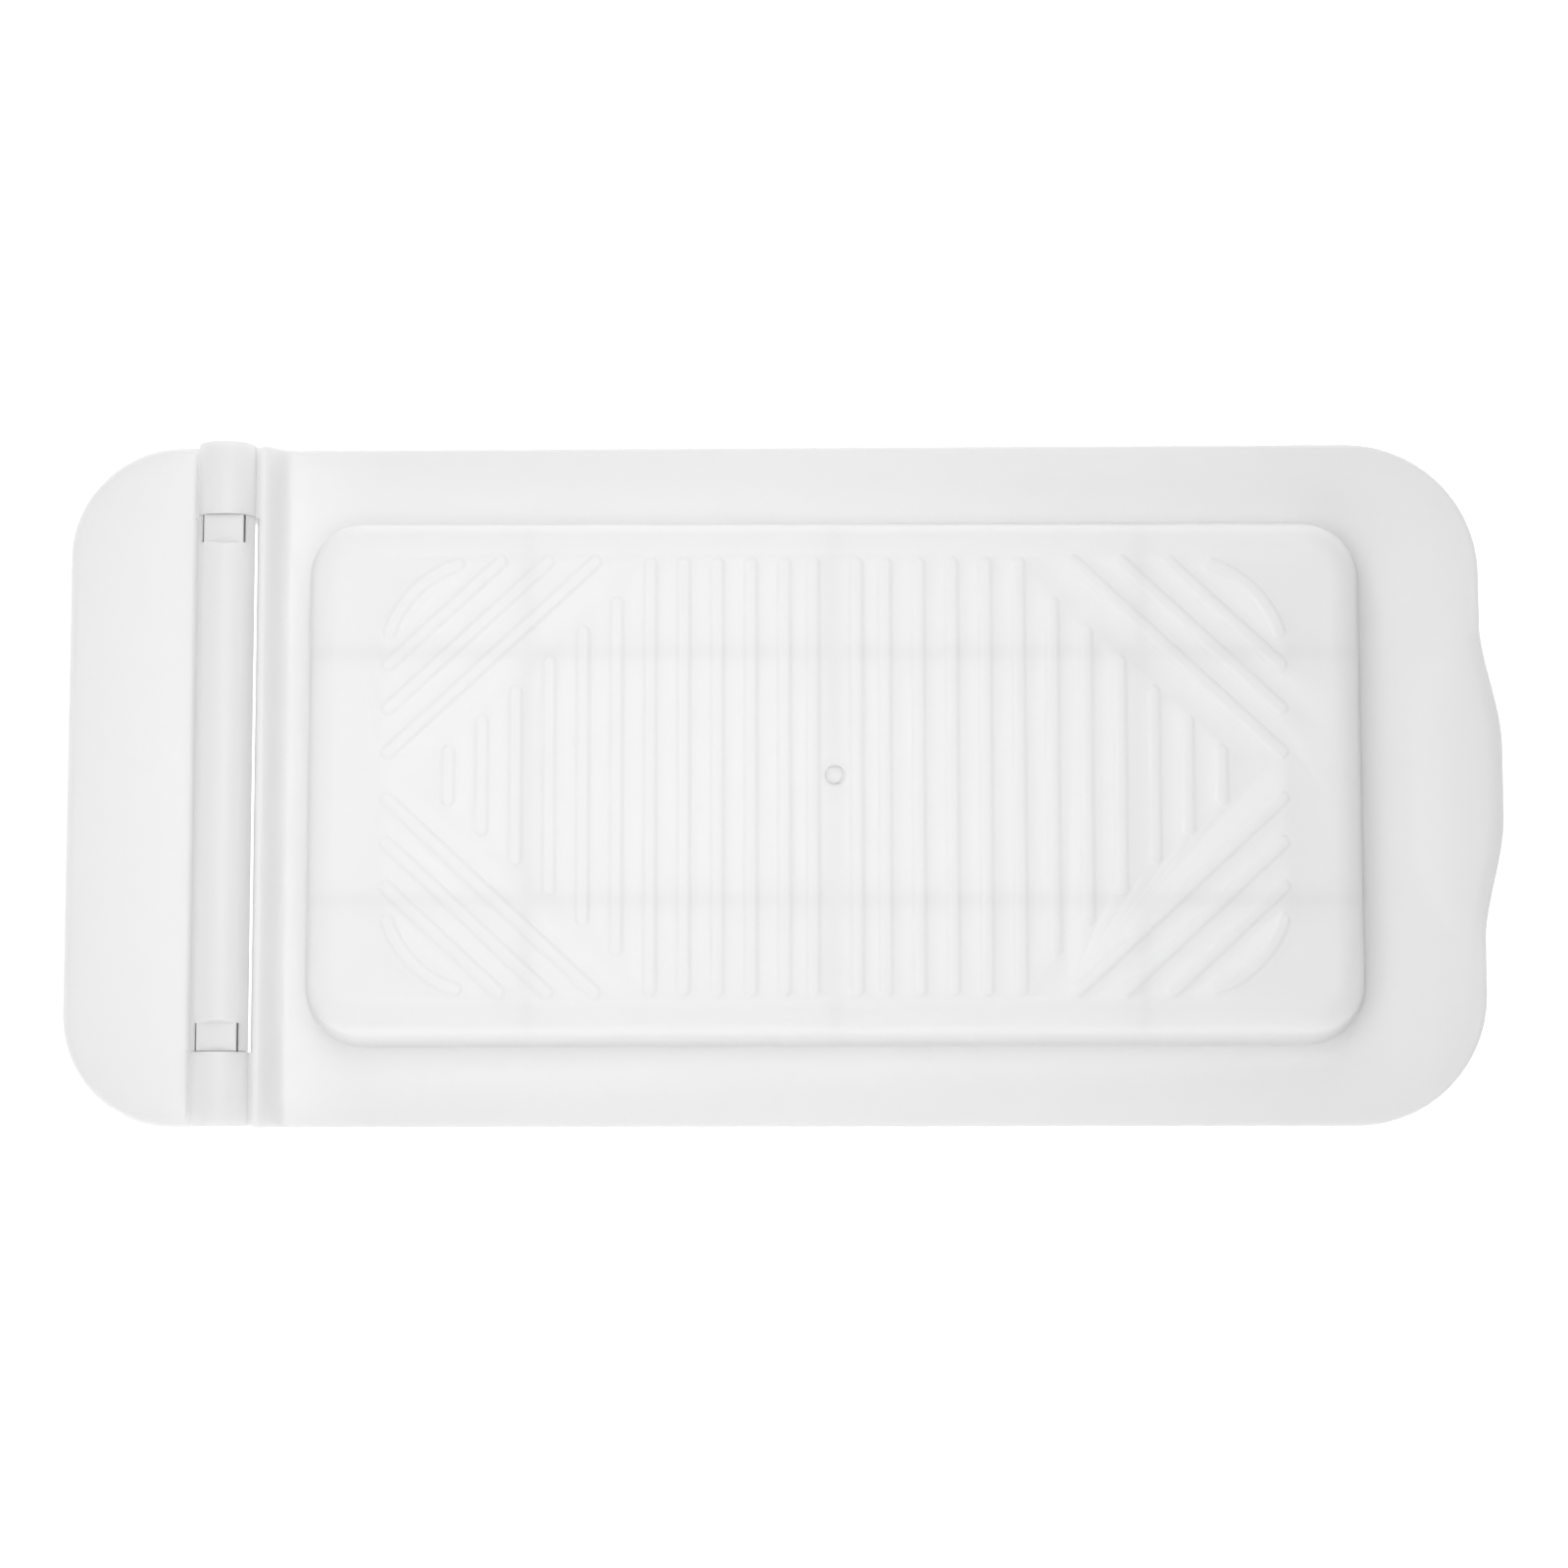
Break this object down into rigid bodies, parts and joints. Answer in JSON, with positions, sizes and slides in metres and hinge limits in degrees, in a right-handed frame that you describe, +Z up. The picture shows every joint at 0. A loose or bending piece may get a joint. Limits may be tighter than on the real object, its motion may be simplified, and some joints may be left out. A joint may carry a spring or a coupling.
{
  "type": "pill counting tray",
  "caption": "Long white plastic tray with a raised ribbed platform, a finger grip at one end and a hinged flap at the other.",
  "frame": {"origin": "middle of the footprint, on the table that the tray stands on", "axes": "+X along the tray toward the finger grip, +Y across it toward the far long side, +Z up"},
  "size_m": [0.25, 0.1194, 0.0203],
  "materials": {
    "tray_plastic": "white polypropylene, satin to semi-gloss, fine moulded grain",
    "flap_plastic": "white polypropylene, satin to semi-gloss, fine moulded grain",
    "pin_plastic": "white polypropylene, polished by turning in its bore"
  },
  "bodies": {
    "tray": {"tray_body": "tray_plastic", "hinge_pin_far": "pin_plastic", "hinge_pin_near": "pin_plastic"},
    "flap": {"end_flap": "flap_plastic"}
  },
  "joints": [
    {"name": "flap_hinge", "type": "hinge", "parent": "tray", "child": "flap", "pos_m": [-0.0972, 0, 0.0081], "axis": [0, 1, 0], "range_deg": [0, 148]}
  ]
}
